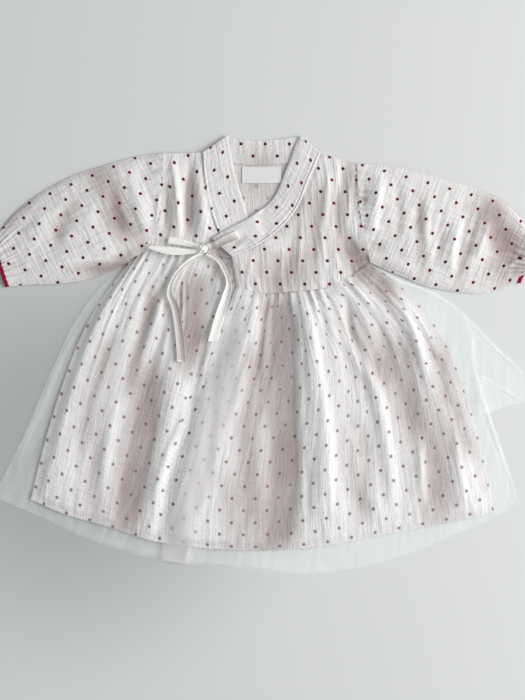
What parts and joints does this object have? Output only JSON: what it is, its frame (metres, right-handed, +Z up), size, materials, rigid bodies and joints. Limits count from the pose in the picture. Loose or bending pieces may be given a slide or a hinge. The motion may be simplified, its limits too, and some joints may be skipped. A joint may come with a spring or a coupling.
{
  "type": "baby hanbok dress",
  "caption": "Baby's wrap-front hanbok dress laid flat: dotted gauze bodice with puffed sleeves, gathered skirt, sheer net overskirt and a tied ribbon bow.",
  "frame": {"origin": "centre of the bounding box, at its bottom, on the surface that the dress lies on", "axes": "+X to the right as seen from above with the neck up, +Y towards the neck, +Z up from the surface"},
  "size_m": [0.5503, 0.4394, 0.0165],
  "materials": {
    "gauze": "crinkled white cotton double gauze with small dark red dots",
    "net": "sheer white net",
    "ribbon": "cream cotton ribbon",
    "edging": "crimson bound edge",
    "label": "woven label cloth, bare"
  },
  "bodies": {
    "root": {"bodice_back": "gauze", "bodice_front_under": "gauze", "bodice_front_over": "gauze", "collar_back": "gauze", "collar_under": "gauze", "collar_over": "gauze", "sleeve_left": "gauze", "sleeve_right": "gauze", "edging_left": "edging", "edging_right": "edging", "skirt_back": "gauze", "skirt_front_under": "gauze", "skirt_front_over": "gauze", "net_back": "net", "net_front_under": "net", "net_front_over": "net", "tie_strap": "ribbon", "tie_knot": "ribbon", "tie_loop_long": "ribbon", "tie_loop_short": "ribbon", "tie_tail_left": "ribbon", "tie_tail_right": "ribbon", "neck_label": "label"}
  },
  "joints": []
}
